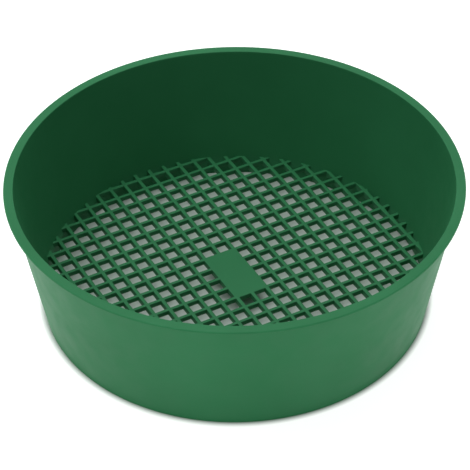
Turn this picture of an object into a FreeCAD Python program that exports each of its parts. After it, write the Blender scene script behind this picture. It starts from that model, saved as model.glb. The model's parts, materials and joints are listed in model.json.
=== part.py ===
import FreeCAD, Part
import os

import Sketcher

# Round garden sieve: a tapered wall with a flat rim, a square mesh with a bare plate in the
# middle, and a short skirt below the mesh. Millimetres, +Z up. The origin is on the floor, at the
# centre of the foot. The mesh bars run along X and Y, and the plate's long side along Y.
# The sieve is one moulding, cut here into its named regions, which touch face to face.

SIZES = (
    ("rim_diameter", "350"),
    ("rim_width", "7.4"),
    ("rim_thickness", "2.2"),
    ("rim_edge_radius", "0.6"),
    ("sieve_height", "111"),
    ("foot_diameter", "301.4"),
    ("foot_edge_thickness", "1"),
    ("foot_edge_radius", "0.4"),
    ("wall_thickness", "2.8"),
    ("mesh_height", "16.3"),
    ("mesh_pitch", "13"),
    ("long_bar_width", "3"),
    ("long_bar_depth", "5.8"),
    ("cross_bar_width", "2.6"),
    ("cross_bar_depth", "4.4"),
    ("plate_cells_across", "2"),
    ("plate_cells_along", "4"),
    ("plate_thickness", "2.6"),
)

# Formulas in the sheet's sizes. Heights are above the floor and radii are from the sieve's axis.
FLOOR = "0"
TOP = "Sizes.sieve_height"
UNDER_RIM = "(Sizes.sieve_height - Sizes.rim_thickness)"
MESH_TOP = "Sizes.mesh_height"
MESH_BOTTOM = "(Sizes.mesh_height - Sizes.long_bar_depth)"
RIM_OUTER = "(Sizes.rim_diameter / 2)"
RIM_INNER = "(Sizes.rim_diameter / 2 - Sizes.rim_width)"
TAPER_START = "(Sizes.foot_diameter / 2 - Sizes.wall_thickness)"
FOOT_OUTER = "(Sizes.foot_diameter / 2)"
FOOT_INNER = "(Sizes.foot_diameter / 2 - Sizes.foot_edge_thickness)"
WELL_OUTSIDE = "Sizes.rim_diameter"


def inner_radius(height):
    """The wall's inner radius at a height: a straight taper that would start from the floor."""
    return f"({TAPER_START} + ({RIM_INNER} - {TAPER_START}) * {height} / Sizes.sieve_height)"


def outer_radius(height):
    return f"({inner_radius(height)} + Sizes.wall_thickness)"


# Bars stand at whole pitches from the axis, out to the last one that the wall still leaves whole.
BARS_EACH_SIDE = f"floor(({inner_radius(MESH_TOP)} - Sizes.long_bar_width) / Sizes.mesh_pitch)"
BAR_COUNT = f"(2 * {BARS_EACH_SIDE} + 1)"
BAR_SPAN = f"(2 * {BARS_EACH_SIDE} * Sizes.mesh_pitch)"
FIRST_BAR = f"(-{BARS_EACH_SIDE} * Sizes.mesh_pitch)"
PLATE_HALF_WIDTH = "(Sizes.plate_cells_across * Sizes.mesh_pitch / 2 + Sizes.long_bar_width / 2)"
PLATE_HALF_LENGTH = "(Sizes.plate_cells_along * Sizes.mesh_pitch / 2 + Sizes.cross_bar_width / 2)"

doc = FreeCAD.newDocument("SoilSieve")


def fill_sheet():
    sheet = doc.addObject("Spreadsheet::Sheet", "Sizes")
    for row, (alias, value) in enumerate(SIZES, start=1):
        sheet.set(f"A{row}", alias)
        sheet.set(f"B{row}", value)
        sheet.setAlias(f"B{row}", alias)
    doc.recompute()
    return sheet


sizes = fill_sheet()


def add_body(name):
    body = doc.addObject("PartDesign::Body", name)
    body.Label = name
    return body


def add_outline(body, name, plane_role, corners, height=FLOOR):
    """A closed outline of straight lines on one of the body's own planes.

    Each corner is two formulas, across and up the plane, and the plane is lifted by height.
    """
    sketch = body.newObject("Sketcher::SketchObject", name)
    plane = next(p for p in body.Origin.OriginFeatures if p.Role == plane_role)
    sketch.AttachmentSupport = [(plane, "")]
    sketch.MapMode = "FlatFace"
    sketch.setExpression("AttachmentOffset.Base.z", height)
    points = [
        FreeCAD.Vector(sizes.evalExpression(across), sizes.evalExpression(up), 0)
        for across, up in corners
    ]
    for start, end in zip(points, points[1:] + points[:1]):
        sketch.addGeometry(Part.LineSegment(start, end))
    for line in range(len(points)):
        next_line = (line + 1) % len(points)
        sketch.addConstraint(Sketcher.Constraint("Coincident", line, 2, next_line, 1))
    for line, (corner, point) in enumerate(zip(corners, points)):
        place_corner(sketch, line, "DistanceX", corner[0], point.x, -2)
        place_corner(sketch, line, "DistanceY", corner[1], point.y, -1)
    return sketch


def place_corner(sketch, line, direction, formula, distance, axis):
    """Ties one coordinate of a line's start to its formula, or to the axis where it is zero."""
    if formula == FLOOR:
        sketch.addConstraint(Sketcher.Constraint("PointOnObject", line, 1, axis))
        return
    index = sketch.addConstraint(Sketcher.Constraint(direction, line, 1, distance))
    sketch.setExpression(f"Constraints[{index}]", formula)


def rectangle(left, right, low, high):
    return [(left, low), (right, low), (right, high), (left, high)]


def add_turned(body, kind, name, sketch):
    """A Revolution or a Groove once round the sieve's axis."""
    feature = body.newObject(f"PartDesign::{kind}", name)
    feature.Profile = sketch
    feature.ReferenceAxis = (sketch, ["V_Axis"])
    feature.Angle = 360
    doc.recompute()
    return feature


def add_straight(body, kind, name, sketch, depth):
    """A Pad or a Pocket, straight down from the sketch's plane."""
    feature = body.newObject(f"PartDesign::{kind}", name)
    feature.Profile = sketch
    feature.setExpression("Length", depth)
    feature.Reversed = kind == "Pad"
    doc.recompute()
    return feature


def add_row(body, name, feature, axis):
    """Repeats a bar or a notch at every pitch across the mesh."""
    row = body.newObject("PartDesign::LinearPattern", name)
    row.Originals = [feature]
    row.Direction = (feature.Profile[0], [axis])
    row.setExpression("Length", BAR_SPAN)
    row.setExpression("Occurrences", BAR_COUNT)
    body.Tip = row
    doc.recompute()
    return row


def add_rounding(body, name, feature, radius, wanted):
    """Rounds the circular edges at the wanted (radius, height) pairs of formulas."""
    places = [(sizes.evalExpression(r), sizes.evalExpression(z)) for r, z in wanted]
    edges = []
    for number, edge in enumerate(feature.Shape.Edges, start=1):
        if not isinstance(edge.Curve, Part.Circle):
            continue
        for circle_radius, height in places:
            same_radius = abs(edge.Curve.Radius - circle_radius) < 1e-4
            same_height = abs(edge.Curve.Center.z - height) < 1e-4
            if same_radius and same_height:
                edges.append(f"Edge{number}")
    assert len(edges) == len(places), f"{name}: found {edges}"
    rounding = body.newObject("PartDesign::Fillet", name)
    rounding.Base = (feature, edges)
    rounding.setExpression("Radius", radius)
    doc.recompute()
    return rounding


def check_cut(before, after):
    """A Pocket or a Groove that points the wrong way removes nothing and reports nothing."""
    assert after.Shape.Volume < before.Shape.Volume - 1, f"{after.Name} removed nothing"


def turned_ring(body, name, corners):
    """A ring whose section has the given corners, each a radius and a height."""
    sketch = add_outline(body, f"{name}_outline", "XZ_Plane", corners)
    return add_turned(body, "Revolution", f"{name}_ring", sketch)


def make_rim():
    """The flat ring turned outwards along the top, its inner face in line with the wall's."""
    body = add_body("rim")
    corners = [
        (inner_radius(UNDER_RIM), UNDER_RIM),
        (RIM_OUTER, UNDER_RIM),
        (RIM_OUTER, TOP),
        (RIM_INNER, TOP),
    ]
    ring = turned_ring(body, "rim", corners)
    sharp = [(RIM_OUTER, UNDER_RIM), (RIM_OUTER, TOP), (RIM_INNER, TOP)]
    add_rounding(body, "rim_rounding", ring, "Sizes.rim_edge_radius", sharp)
    return body


def make_side_wall():
    """The tapered wall from the mesh's underside to the rim."""
    body = add_body("side_wall")
    corners = [
        (inner_radius(MESH_BOTTOM), MESH_BOTTOM),
        (outer_radius(MESH_BOTTOM), MESH_BOTTOM),
        (outer_radius(UNDER_RIM), UNDER_RIM),
        (inner_radius(UNDER_RIM), UNDER_RIM),
    ]
    turned_ring(body, "wall", corners)
    return body


def make_foot_skirt():
    """The wall carried on below the mesh.

    Its outer face keeps the taper and its inner face drops almost straight, to a thin rounded edge
    on the floor.
    """
    body = add_body("foot_skirt")
    corners = [
        (FOOT_INNER, FLOOR),
        (FOOT_OUTER, FLOOR),
        (outer_radius(MESH_BOTTOM), MESH_BOTTOM),
        (inner_radius(MESH_BOTTOM), MESH_BOTTOM),
    ]
    ring = turned_ring(body, "skirt", corners)
    sharp = [(FOOT_INNER, FLOOR), (FOOT_OUTER, FLOOR)]
    add_rounding(body, "skirt_rounding", ring, "Sizes.foot_edge_radius", sharp)
    return body


def trim_to_wall(body, bars):
    """Cuts the bars' ends back to the wall's tapered inner face."""
    corners = [
        (TAPER_START, FLOOR),
        (WELL_OUTSIDE, FLOOR),
        (WELL_OUTSIDE, TOP),
        (RIM_INNER, TOP),
    ]
    sketch = add_outline(body, f"{body.Name}_trim_outline", "XZ_Plane", corners)
    trimmed = add_turned(body, "Groove", f"{body.Name}_trim", sketch)
    check_cut(bars, trimmed)
    return trimmed


def clear_plate(body, bars):
    """Takes the plate's own place out of the bars that it covers."""
    corners = rectangle(
        f"-{PLATE_HALF_WIDTH}", PLATE_HALF_WIDTH, f"-{PLATE_HALF_LENGTH}", PLATE_HALF_LENGTH
    )
    sketch = add_outline(body, f"{body.Name}_seat_outline", "XY_Plane", corners, MESH_TOP)
    seat = add_straight(body, "Pocket", f"{body.Name}_seat", sketch, "Sizes.plate_thickness")
    check_cut(bars, seat)
    return seat


def bar_along_y(body, name):
    corners = rectangle(
        f"{FIRST_BAR} - Sizes.long_bar_width / 2",
        f"{FIRST_BAR} + Sizes.long_bar_width / 2",
        f"-{RIM_OUTER}",
        RIM_OUTER,
    )
    return add_outline(body, name, "XY_Plane", corners, MESH_TOP)


def bar_along_x(body, name):
    corners = rectangle(
        f"-{RIM_OUTER}",
        RIM_OUTER,
        f"{FIRST_BAR} - Sizes.cross_bar_width / 2",
        f"{FIRST_BAR} + Sizes.cross_bar_width / 2",
    )
    return add_outline(body, name, "XY_Plane", corners, MESH_TOP)


def make_long_mesh_bars():
    """The deeper bars, notched from above where the cross bars and the plate lie in them."""
    body = add_body("long_mesh_bars")
    outline = bar_along_y(body, "long_bar_outline")
    first = add_straight(body, "Pad", "long_bar", outline, "Sizes.long_bar_depth")
    bars = trim_to_wall(body, add_row(body, "long_bar_row", first, "H_Axis"))
    notch_outline = bar_along_x(body, "notch_outline")
    notch = add_straight(body, "Pocket", "notch", notch_outline, "Sizes.cross_bar_depth")
    notched = add_row(body, "notch_row", notch, "V_Axis")
    check_cut(bars, notched)
    clear_plate(body, notched)
    return body


def make_cross_mesh_bars():
    """The shallower bars, flush with the deeper ones on top."""
    body = add_body("cross_mesh_bars")
    outline = bar_along_x(body, "cross_bar_outline")
    first = add_straight(body, "Pad", "cross_bar", outline, "Sizes.cross_bar_depth")
    bars = trim_to_wall(body, add_row(body, "cross_bar_row", first, "V_Axis"))
    clear_plate(body, bars)
    return body


def make_centre_plate():
    """The bare plate, flush with the bars' tops and covering the bars along its edges."""
    body = add_body("centre_plate")
    corners = rectangle(
        f"-{PLATE_HALF_WIDTH}", PLATE_HALF_WIDTH, f"-{PLATE_HALF_LENGTH}", PLATE_HALF_LENGTH
    )
    sketch = add_outline(body, "plate_outline", "XY_Plane", corners, MESH_TOP)
    add_straight(body, "Pad", "plate", sketch, "Sizes.plate_thickness")
    return body


def check_document(sub_parts):
    for thing in doc.Objects:
        bad = {"Invalid", "Error"} & set(thing.State)
        assert not bad, f"{thing.Name} is {thing.State}"
    for body in sub_parts:
        assert not body.Shape.isNull(), f"{body.Label} has no shape"
        assert body.Shape.isValid(), f"{body.Label} is not valid"
        assert body.Shape.Solids, f"{body.Label} has no solid"


def main():
    sub_parts = [
        make_rim(),
        make_side_wall(),
        make_foot_skirt(),
        make_long_mesh_bars(),
        make_cross_mesh_bars(),
        make_centre_plate(),
    ]
    doc.recompute()
    check_document(sub_parts)
    os.makedirs("parts", exist_ok=True)
    for body in sub_parts:
        body.Shape.exportStep(f"parts/{body.Label}.step")
        print(body.Label, len(body.Shape.Solids), "solids", round(body.Shape.Volume), "mm3")


main()
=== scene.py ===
import json
import math

import bmesh
import bpy
from mathutils import Matrix, Vector


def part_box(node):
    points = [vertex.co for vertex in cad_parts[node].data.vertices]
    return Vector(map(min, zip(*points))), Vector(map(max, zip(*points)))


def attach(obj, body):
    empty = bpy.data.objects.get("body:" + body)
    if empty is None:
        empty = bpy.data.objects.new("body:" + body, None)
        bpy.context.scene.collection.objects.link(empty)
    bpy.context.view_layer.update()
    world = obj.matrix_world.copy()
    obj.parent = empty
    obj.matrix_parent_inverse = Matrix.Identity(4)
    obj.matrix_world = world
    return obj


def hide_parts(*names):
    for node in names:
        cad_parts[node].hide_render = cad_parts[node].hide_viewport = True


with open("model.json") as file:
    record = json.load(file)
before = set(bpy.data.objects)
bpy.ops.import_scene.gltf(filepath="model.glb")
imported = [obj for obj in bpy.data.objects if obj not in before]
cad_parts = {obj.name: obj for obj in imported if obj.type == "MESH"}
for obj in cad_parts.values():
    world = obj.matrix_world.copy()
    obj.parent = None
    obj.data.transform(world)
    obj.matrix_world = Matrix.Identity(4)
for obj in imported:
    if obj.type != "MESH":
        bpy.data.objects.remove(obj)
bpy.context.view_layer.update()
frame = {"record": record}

# Green plastic soil sieve: a tapered wall with a flat rim, a square mesh with a bare plate in the
# middle, and a short skirt below the mesh. Metres, +Z up, floor at z = 0.

MM = 0.001

# Sizes read from the frame. Radii are from the sieve's axis and heights above the floor.
rim_low, rim_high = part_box("rim")
wall_low, wall_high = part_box("side_wall")
skirt_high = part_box("foot_skirt")[1]
long_low, long_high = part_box("long_mesh_bars")
cross_low, cross_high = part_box("cross_mesh_bars")
plate_low, plate_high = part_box("centre_plate")

RIM_RADIUS = rim_high.x
RIM_TOP = rim_high.z
RIM_UNDERSIDE = rim_low.z
MESH_TOP = long_high.z
LONG_BAR_BOTTOM = long_low.z
CROSS_BAR_BOTTOM = cross_low.z
PLATE_BOTTOM = plate_low.z

TAPER = (wall_high.x - skirt_high.x) / (wall_high.z - skirt_high.z)
WALL_THICKNESS = skirt_high.x + TAPER * (MESH_TOP - skirt_high.z) - long_high.y

# The bars on each side of the middle one, and the cells that the plate covers from side to side.
BARS_EACH_SIDE = 11
PLATE_CELLS_ACROSS = 2
PITCH = (long_high.x - plate_high.x) / (BARS_EACH_SIDE - PLATE_CELLS_ACROSS / 2)
LONG_BAR_HALF = long_high.x - BARS_EACH_SIDE * PITCH
CROSS_BAR_HALF = cross_high.y - BARS_EACH_SIDE * PITCH

# Small shapes that the frame's boxes don't tell: roundings, a fillet and the bars' mould draft.
RIM_OUTER_ROUNDING = 0.9 * MM
RIM_INNER_ROUNDING = 0.6 * MM
UNDER_RIM_FILLET = 1.2 * MM
FOOT_ROUNDING = 0.4 * MM
BAR_ROUNDING = 0.4 * MM
BAR_DRAFT = math.tan(math.radians(2))

# How finely the shapes are divided, and which of their edges count as corners.
RING_SEGMENTS = 288
ARC_STEPS = 5
BAR_ROUNDING_STEPS = 2
BAR_CORNER = math.radians(20)
SHARP_CORNER = math.radians(35)

# How far a cutting tool passes what it cuts, and how far inside its edge the plate is parted.
TOOL_MARGIN = 1 * MM
PLATE_INSET = 3 * BAR_ROUNDING

# The plastic: the darkest and the palest of its green, and how bright the walls and the mesh are.
# The mesh's darker colour is painted shade for the light that the deep bowl keeps off it.
DARK_GREEN = (0.024, 0.165, 0.064)
PALE_GREEN = (0.029, 0.185, 0.074)
WALL_SHADE = 1
MESH_PAINTED_SHADE = 0.87
GLOSS = 0.12
LEAST_ROUGHNESS = 0.44
MOST_ROUGHNESS = 0.54
WALL_RING_DEPTH = 0.03 * MM
MESH_RING_DEPTH = 0
GRAIN_DEPTH = 0.01 * MM
GRAIN_STRENGTH = 0.5

# Noise patterns: how fine each is, and the part of a noise's range that is used.
CLOUD_SCALE = 14
ROUGHNESS_SCALE = 60
RING_SCALE = 8
RING_SQUEEZE = (0.6, 0.6, 60)
GRAIN_SCALE = 1400
NOISE_LOW = 0.3
NOISE_HIGH = 0.7

# The floor: its own colour, how much white a seen ray adds to it, and how far out from the foot
# that white is full. The fade of that white by the foot paints shade there, on top of the real
# shadow.
WHITE = (1, 1, 1, 1)
FLOOR_SIZE = 40
FLOOR_COLOUR = (0.57, 0.65, 0.6, 1)
FLOOR_ROUGHNESS = 0.9
FLOOR_GLOSS = 0.1
FLOOR_LIFT = 0.85
CONTACT_SHADOW = 5 * MM

# The dome of soft light: it grows from its least to its most between two elevations.
DOME_START = math.radians(25)
DOME_FULL = math.radians(50)
DOME_LEAST = 0.1
DOME_MOST = 0.5

# The square softboxes, aimed at the foot's centre: place, width and watts.
OVERHEAD_PLACE = (0.18, 0.33, 1.7)
OVERHEAD_WIDTH = 1.0
OVERHEAD_POWER = 12
LEFT_PLACE = (-0.74, 0.4, 1.59)
LEFT_WIDTH = 0.8
LEFT_POWER = 7.6
FOOT_CENTRE = (0, 0, 0)

# The low panels: how many, how far out, how high, how far off the floor, and watts each.
PANEL_COUNT = 6
PANEL_DISTANCE = 1.0
PANEL_HEIGHT = 0.1
PANEL_GAP = 5 * MM
PANEL_POWER = 2.0

# The camera: where it stands round the sieve, its turn about its own axis, its lens in mm, and
# the height on the sieve's axis that it looks at.
CAMERA_AZIMUTH = math.radians(-28.44)
CAMERA_ELEVATION = math.radians(39.54)
CAMERA_ROLL = math.radians(-0.58)
CAMERA_DISTANCE = 1.6368
CAMERA_LENS = 161.8
AIM_HEIGHT = 54.5 * MM


def outer_radius(height):
    return skirt_high.x + TAPER * (height - skirt_high.z)


def inner_radius(height):
    return outer_radius(height) - WALL_THICKNESS


def foot_inner_radius():
    """The foot mount lies in the middle of the thin edge that the sieve stands on."""
    edge_middle = frame["record"]["mounts"][0]["pos_m"][0]
    return 2 * edge_middle - outer_radius(0)


# ---------------------------------------------------------------- shapes


def rounded(corners):
    """An outline with arcs for corners: each entry is (radius, height, rounding)."""
    points = []
    for index, (across, up, rounding) in enumerate(corners):
        corner = Vector((across, up))
        if rounding == 0:
            points.append(corner)
            continue
        before = Vector(corners[index - 1][:2])
        after = Vector(corners[(index + 1) % len(corners)][:2])
        back, ahead = (before - corner).normalized(), (after - corner).normalized()
        half_angle = back.angle(ahead) / 2
        start = corner + back * rounding / math.tan(half_angle)
        end = corner + ahead * rounding / math.tan(half_angle)
        centre = corner + (back + ahead).normalized() * rounding / math.sin(half_angle)
        for step in range(ARC_STEPS + 1):
            chord = start.lerp(end, step / ARC_STEPS)
            points.append(centre + (chord - centre).normalized() * rounding)
    return points


def finish_mesh(name, shape):
    """Turns a bmesh into a smooth-shaded object that keeps its corners crisp."""
    bmesh.ops.recalc_face_normals(shape, faces=shape.faces)
    mesh = bpy.data.meshes.new(name)
    shape.to_mesh(mesh)
    shape.free()
    mesh.shade_smooth()
    mesh.set_sharp_from_angle(angle=SHARP_CORNER)
    piece = bpy.data.objects.new(name, mesh)
    bpy.context.scene.collection.objects.link(piece)
    return piece


def lathe(name, outline):
    """A closed ring: the outline turned once round the sieve's axis."""
    shape = bmesh.new()
    rings = []
    for step in range(RING_SEGMENTS):
        turn = 2 * math.pi * step / RING_SEGMENTS
        rings.append(
            [
                shape.verts.new((r * math.cos(turn), r * math.sin(turn), z))
                for r, z in outline
            ]
        )
    for step, ring in enumerate(rings):
        following = rings[(step + 1) % RING_SEGMENTS]
        for k in range(len(outline)):
            after = (k + 1) % len(outline)
            shape.faces.new((ring[k], following[k], following[after], ring[after]))
    return finish_mesh(name, shape)


def make_rim():
    outline = rounded(
        [
            (inner_radius(RIM_UNDERSIDE), RIM_UNDERSIDE, 0),
            (RIM_RADIUS, RIM_UNDERSIDE, RIM_INNER_ROUNDING),
            (RIM_RADIUS, RIM_TOP, RIM_OUTER_ROUNDING),
            (inner_radius(RIM_TOP), RIM_TOP, RIM_INNER_ROUNDING),
        ]
    )
    return lathe("rim_ring", outline)


def make_wall():
    """The tapered wall, flared by a small fillet where it meets the rim's underside."""
    bottom = wall_low.z
    fillet = UNDER_RIM_FILLET
    flare = []
    for step in range(ARC_STEPS + 1):
        turn = math.radians(90) * step / ARC_STEPS
        height = RIM_UNDERSIDE - fillet * (1 - math.sin(turn))
        flare.append((outer_radius(height) + fillet * (1 - math.cos(turn)), height))
    outline = [
        (inner_radius(bottom), bottom),
        (outer_radius(bottom), bottom),
        *flare,
        (inner_radius(RIM_UNDERSIDE), RIM_UNDERSIDE),
    ]
    return lathe("tapered_wall", outline)


def make_skirt():
    """The wall below the mesh: its inner face drops almost straight to a thin rounded edge."""
    top = skirt_high.z
    outline = rounded(
        [
            (foot_inner_radius(), 0, FOOT_ROUNDING),
            (outer_radius(0), 0, FOOT_ROUNDING),
            (outer_radius(top), top, 0),
            (inner_radius(top), top, 0),
        ]
    )
    return lathe("skirt_ring", outline)


def bar_edges(half_width, reach):
    """Where the bars' sides stand, from -reach to reach: odd gaps between them are bars."""
    edges = [-reach]
    for bar in range(-BARS_EACH_SIDE, BARS_EACH_SIDE + 1):
        edges += [bar * PITCH - half_width, bar * PITCH + half_width]
    return edges + [reach]


def drafted(edges, index, depth):
    """A bar's side leans in below the top, so that the bar is narrower underneath."""
    inward = BAR_DRAFT * depth
    if index in (0, len(edges) - 1):
        return edges[index]
    return edges[index] + (inward if index % 2 else -inward)


# The mesh in layers from its top downwards, each ending at an underside of its own.
PLATE_LAYER, CROSS_BAR_LAYER, LONG_BAR_LAYER = range(3)


def grid_blocks(x_edges, y_edges):
    """The (column, row, layer) blocks that are plastic, with the layers counted downwards."""
    blocks = set()
    for column in range(len(x_edges) - 1):
        middle_x = (x_edges[column] + x_edges[column + 1]) / 2
        for row in range(len(y_edges) - 1):
            middle_y = (y_edges[row] + y_edges[row + 1]) / 2
            in_plate = abs(middle_x) < plate_high.x and abs(middle_y) < plate_high.y
            if column % 2 or row % 2 or in_plate:
                blocks.add((column, row, PLATE_LAYER))
            if column % 2 or row % 2:
                blocks.add((column, row, CROSS_BAR_LAYER))
            if column % 2:
                blocks.add((column, row, LONG_BAR_LAYER))
    return blocks


# For each side of a block: the step to its neighbour, and its four corners in turn.
BLOCK_SIDES = (
    ((0, 0, -1), ((0, 0, 0), (1, 0, 0), (1, 1, 0), (0, 1, 0))),
    ((0, 0, 1), ((0, 0, 1), (0, 1, 1), (1, 1, 1), (1, 0, 1))),
    ((-1, 0, 0), ((0, 0, 0), (0, 1, 0), (0, 1, 1), (0, 0, 1))),
    ((1, 0, 0), ((1, 0, 0), (1, 0, 1), (1, 1, 1), (1, 1, 0))),
    ((0, -1, 0), ((0, 0, 0), (0, 0, 1), (1, 0, 1), (1, 0, 0))),
    ((0, 1, 0), ((0, 1, 0), (1, 1, 0), (1, 1, 1), (0, 1, 1))),
)


def grid_shape(reach):
    """The whole square of bars and the plate as one closed skin with crisp corners."""
    x_edges = bar_edges(LONG_BAR_HALF, reach)
    y_edges = bar_edges(CROSS_BAR_HALF, reach)
    heights = (MESH_TOP, PLATE_BOTTOM, CROSS_BAR_BOTTOM, LONG_BAR_BOTTOM)
    blocks = grid_blocks(x_edges, y_edges)
    shape = bmesh.new()
    corners = {}

    def corner(i, j, level):
        if (i, j, level) not in corners:
            depth = MESH_TOP - heights[level]
            place = (drafted(x_edges, i, depth), drafted(y_edges, j, depth), heights[level])
            corners[i, j, level] = shape.verts.new(place)
        return corners[i, j, level]

    for column, row, layer in blocks:
        for (dx, dy, dz), around in BLOCK_SIDES:
            if (column + dx, row + dy, layer + dz) not in blocks:
                shape.faces.new(
                    [corner(column + i, row + j, layer + k) for i, j, k in around]
                )
    bmesh.ops.recalc_face_normals(shape, faces=shape.faces)
    return shape


def round_bars(shape, reach):
    """Rounds every corner of the bars and of the holes between them."""
    border = reach - TOOL_MARGIN
    turned = []
    for edge in shape.edges:
        at_border = any(max(abs(v.co.x), abs(v.co.y)) > border for v in edge.verts)
        if not at_border and edge.calc_face_angle(0) > BAR_CORNER:
            turned.append(edge)
    bmesh.ops.bevel(
        shape,
        geom=turned,
        offset=BAR_ROUNDING,
        offset_type="OFFSET",
        segments=BAR_ROUNDING_STEPS,
        profile=0.5,
        affect="EDGES",
        clamp_overlap=False,
    )


def combined(piece, other, operation, name):
    """A new object: piece cut by other, or cut down to what it shares with other."""
    step = piece.modifiers.new("combine", "BOOLEAN")
    step.object = other
    step.operation = operation
    step.solver = "EXACT"
    bpy.context.view_layer.update()
    graph = bpy.context.evaluated_depsgraph_get()
    shape = bmesh.new()
    shape.from_mesh(piece.evaluated_get(graph).to_mesh())
    piece.modifiers.remove(step)
    return finish_mesh(name, shape)


def box_tool(low, high):
    shape = bmesh.new()
    bmesh.ops.create_cube(shape, size=1)
    for vertex in shape.verts:
        for axis in range(3):
            vertex.co[axis] = high[axis] if vertex.co[axis] > 0 else low[axis]
    return finish_mesh("box_tool", shape)


def mid_wall_tool():
    """A plug that ends half-way through the wall, so that the bars run into the wall."""
    shape = bmesh.new()
    low, high = LONG_BAR_BOTTOM - 2 * TOOL_MARGIN, MESH_TOP + 2 * TOOL_MARGIN
    bmesh.ops.create_cone(
        shape,
        cap_ends=True,
        segments=RING_SEGMENTS,
        radius1=outer_radius(low) - WALL_THICKNESS / 2,
        radius2=outer_radius(high) - WALL_THICKNESS / 2,
        depth=high - low,
        matrix=Matrix.Translation((0, 0, (low + high) / 2)),
    )
    return finish_mesh("mid_wall_tool", shape)


def discard(*things):
    for thing in things:
        bpy.data.objects.remove(thing)


def make_mesh_and_plate():
    """The bars and the plate, moulded as one, then parted just inside the plate's rounded edge."""
    reach = RIM_RADIUS
    shape = grid_shape(reach)
    round_bars(shape, reach)
    square = finish_mesh("square_grid", shape)
    plug = mid_wall_tool()
    disc = combined(square, plug, "INTERSECT", "round_grid")
    below, above = LONG_BAR_BOTTOM - TOOL_MARGIN, MESH_TOP + TOOL_MARGIN
    plate_tool = box_tool(
        (plate_low.x + PLATE_INSET, plate_low.y + PLATE_INSET, below),
        (plate_high.x - PLATE_INSET, plate_high.y - PLATE_INSET, above),
    )
    bars = combined(disc, plate_tool, "DIFFERENCE", "mesh_panel")
    plate = combined(disc, plate_tool, "INTERSECT", "bare_plate")
    discard(square, plug, disc, plate_tool)
    return bars, plate


# ---------------------------------------------------------------- material


def satin_green(name, shade, ring_depth):
    """Injection-moulded green plastic with a fine grain and, on turned walls, faint rings."""
    material = bpy.data.materials.new(name)
    material.use_nodes = True
    nodes, links = material.node_tree.nodes, material.node_tree.links
    shader = nodes["Principled BSDF"]
    shader.inputs["Specular IOR Level"].default_value = GLOSS
    place = nodes.new("ShaderNodeTexCoord").outputs["Object"]

    def noise(scale, detail, source=place):
        texture = nodes.new("ShaderNodeTexNoise")
        texture.inputs["Scale"].default_value = scale
        texture.inputs["Detail"].default_value = detail
        links.new(source, texture.inputs["Vector"])
        return texture.outputs["Fac"]

    def ranged(value, low, high):
        spread = nodes.new("ShaderNodeMapRange")
        spread.inputs["From Min"].default_value = NOISE_LOW
        spread.inputs["From Max"].default_value = NOISE_HIGH
        spread.inputs["To Min"].default_value = low
        spread.inputs["To Max"].default_value = high
        links.new(value, spread.inputs["Value"])
        return spread.outputs["Result"]

    clouds = nodes.new("ShaderNodeMix")
    clouds.data_type = "RGBA"
    # A shade below 1 darkens the colour as painted shade.
    clouds.inputs["A"].default_value = (*(part * shade for part in DARK_GREEN), 1)
    clouds.inputs["B"].default_value = (*(part * shade for part in PALE_GREEN), 1)
    links.new(ranged(noise(CLOUD_SCALE, 3), 0, 1), clouds.inputs["Factor"])
    links.new(clouds.outputs["Result"], shader.inputs["Base Color"])
    roughness = ranged(noise(ROUGHNESS_SCALE, 4), LEAST_ROUGHNESS, MOST_ROUGHNESS)
    links.new(roughness, shader.inputs["Roughness"])

    squeeze = nodes.new("ShaderNodeMapping")
    squeeze.inputs["Scale"].default_value = RING_SQUEEZE
    links.new(place, squeeze.inputs["Vector"])
    rings = nodes.new("ShaderNodeBump")
    rings.inputs["Distance"].default_value = ring_depth
    links.new(noise(RING_SCALE, 4, squeeze.outputs["Vector"]), rings.inputs["Height"])
    grain = nodes.new("ShaderNodeBump")
    grain.inputs["Distance"].default_value = GRAIN_DEPTH
    grain.inputs["Strength"].default_value = GRAIN_STRENGTH
    links.new(noise(GRAIN_SCALE, 2), grain.inputs["Height"])
    links.new(rings.outputs["Normal"], grain.inputs["Normal"])
    links.new(grain.outputs["Normal"], shader.inputs["Normal"])
    return material


# ---------------------------------------------------------------- stage


def pale_floor():
    """A plain pale floor that reads as white beside the sieve and keeps its soft shadow, with
    painted shade where the white fades in at the foot.
    """
    bpy.ops.mesh.primitive_plane_add(size=FLOOR_SIZE)
    floor = bpy.context.object
    floor.name = "floor"
    material = bpy.data.materials.new("pale_floor")
    material.use_nodes = True
    nodes, links = material.node_tree.nodes, material.node_tree.links
    shader = nodes["Principled BSDF"]
    shader.inputs["Base Color"].default_value = FLOOR_COLOUR
    shader.inputs["Roughness"].default_value = FLOOR_ROUGHNESS
    shader.inputs["Specular IOR Level"].default_value = FLOOR_GLOSS
    shader.inputs["Emission Color"].default_value = WHITE

    place = nodes.new("ShaderNodeTexCoord").outputs["Object"]
    away = nodes.new("ShaderNodeVectorMath")
    away.operation = "LENGTH"
    links.new(place, away.inputs[0])
    # The white fades in from the foot over CONTACT_SHADOW: painted shade on top of the real contact
    # shadow.
    clear = nodes.new("ShaderNodeMapRange")
    clear.inputs["From Min"].default_value = outer_radius(0)
    clear.inputs["From Max"].default_value = outer_radius(0) + CONTACT_SHADOW
    clear.inputs["To Max"].default_value = FLOOR_LIFT
    links.new(away.outputs["Value"], clear.inputs["Value"])
    lift = nodes.new("ShaderNodeMath")
    lift.operation = "MULTIPLY"
    links.new(clear.outputs["Result"], lift.inputs[0])
    links.new(seen_ray(nodes, links), lift.inputs[1])
    links.new(lift.outputs["Value"], shader.inputs["Emission Strength"])
    floor.data.materials.append(material)
    return floor


def seen_ray(nodes, links):
    """1 for a ray from the camera or off gloss, 0 for the light that reaches other surfaces."""
    path = nodes.new("ShaderNodeLightPath")
    total = path.outputs["Is Camera Ray"]
    for kind in ("Is Glossy Ray", "Is Transmission Ray"):
        larger = nodes.new("ShaderNodeMath")
        larger.operation = "MAXIMUM"
        links.new(total, larger.inputs[0])
        links.new(path.outputs[kind], larger.inputs[1])
        total = larger.outputs["Value"]
    return total


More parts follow.
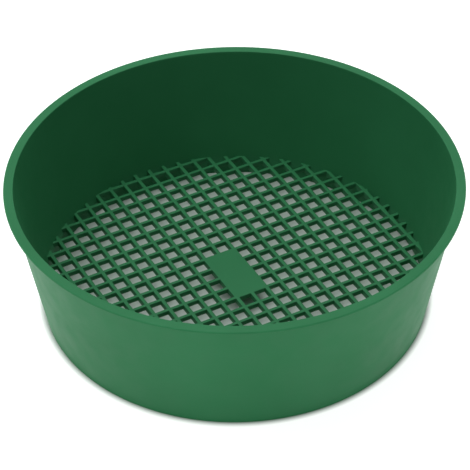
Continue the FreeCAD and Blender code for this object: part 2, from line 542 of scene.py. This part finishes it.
def soft_world():
    """Soft light from a wide dome overhead, dim towards the horizon, and white where it is seen."""
    world = bpy.data.worlds.new("studio")
    bpy.context.scene.world = world
    world.use_nodes = True
    nodes, links = world.node_tree.nodes, world.node_tree.links
    background = nodes["Background"]
    direction = nodes.new("ShaderNodeSeparateXYZ")
    links.new(nodes.new("ShaderNodeTexCoord").outputs["Generated"], direction.inputs["Vector"])
    dome = nodes.new("ShaderNodeMapRange")
    dome.inputs["From Min"].default_value = math.sin(DOME_START)
    dome.inputs["From Max"].default_value = math.sin(DOME_FULL)
    dome.inputs["To Min"].default_value = DOME_LEAST
    dome.inputs["To Max"].default_value = DOME_MOST
    links.new(direction.outputs["Z"], dome.inputs["Value"])
    shade = nodes.new("ShaderNodeMix")
    shade.inputs["B"].default_value = 1
    links.new(dome.outputs["Result"], shade.inputs["A"])
    links.new(seen_ray(nodes, links), shade.inputs["Factor"])
    links.new(shade.outputs["Result"], background.inputs["Strength"])
    background.inputs["Color"].default_value = WHITE


def softbox(name, place, aim, width, height, power):
    lamp = bpy.data.lights.new(name, "AREA")
    lamp.shape = "RECTANGLE"
    lamp.size = width
    lamp.size_y = height
    lamp.energy = power
    holder = bpy.data.objects.new(name, lamp)
    holder.location = place
    holder.rotation_euler = (Vector(aim) - Vector(place)).to_track_quat("-Z", "Y").to_euler()
    bpy.context.scene.collection.objects.link(holder)
    return holder


def low_panels():
    """Long panels just off the floor all round, lower than the rim, that light the outer wall."""
    width = 2 * PANEL_DISTANCE * math.tan(math.pi / PANEL_COUNT)
    middle = PANEL_HEIGHT / 2 + PANEL_GAP
    aim = (0, 0, middle)
    for number in range(PANEL_COUNT):
        turn = 2 * math.pi * (number + 0.5) / PANEL_COUNT
        place = (PANEL_DISTANCE * math.cos(turn), PANEL_DISTANCE * math.sin(turn), middle)
        panel = softbox(f"low_panel_{number}", place, aim, width, PANEL_HEIGHT, PANEL_POWER)
        panel.visible_camera = False
        panel.visible_glossy = False


def photographer():
    """A long lens, turned slightly about its own axis, looking down across the sieve."""
    aim = Vector((0, 0, AIM_HEIGHT))
    level = math.cos(CAMERA_ELEVATION)
    back = Vector(
        (
            math.sin(CAMERA_AZIMUTH) * level,
            -math.cos(CAMERA_AZIMUTH) * level,
            math.sin(CAMERA_ELEVATION),
        )
    )
    camera_data = bpy.data.cameras.new("camera")
    camera_data.lens = CAMERA_LENS
    camera = bpy.data.objects.new("camera", camera_data)
    facing = (-back).to_track_quat("-Z", "Y").to_matrix().to_4x4()
    place = Matrix.Translation(aim + back * CAMERA_DISTANCE)
    camera.matrix_world = place @ facing @ Matrix.Rotation(CAMERA_ROLL, 4, "Z")
    bpy.context.scene.collection.objects.link(camera)
    bpy.context.scene.camera = camera


# ---------------------------------------------------------------- the sieve


def main():
    wall_plastic = satin_green("turned_green_plastic", WALL_SHADE, WALL_RING_DEPTH)
    # The mesh is the walls' plastic, its colour darkened as painted shade.
    mesh_plastic = satin_green("mesh_plastic_painted_shade", MESH_PAINTED_SHADE, MESH_RING_DEPTH)
    bars, plate = make_mesh_and_plate()
    pieces = (
        (make_rim(), ("rim",), wall_plastic),
        (make_wall(), ("side_wall",), wall_plastic),
        (make_skirt(), ("foot_skirt",), wall_plastic),
        (bars, ("long_mesh_bars", "cross_mesh_bars"), mesh_plastic),
        (plate, ("centre_plate",), mesh_plastic),
    )
    for piece, nodes, material in pieces:
        piece.data.materials.append(material)
        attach(piece, "root")
        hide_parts(*nodes)

    pale_floor()
    soft_world()
    softbox(
        "overhead", OVERHEAD_PLACE, FOOT_CENTRE, OVERHEAD_WIDTH, OVERHEAD_WIDTH, OVERHEAD_POWER
    )
    softbox("left", LEFT_PLACE, FOOT_CENTRE, LEFT_WIDTH, LEFT_WIDTH, LEFT_POWER)
    low_panels()
    photographer()
    bpy.context.scene.view_settings.view_transform = "Standard"


main()
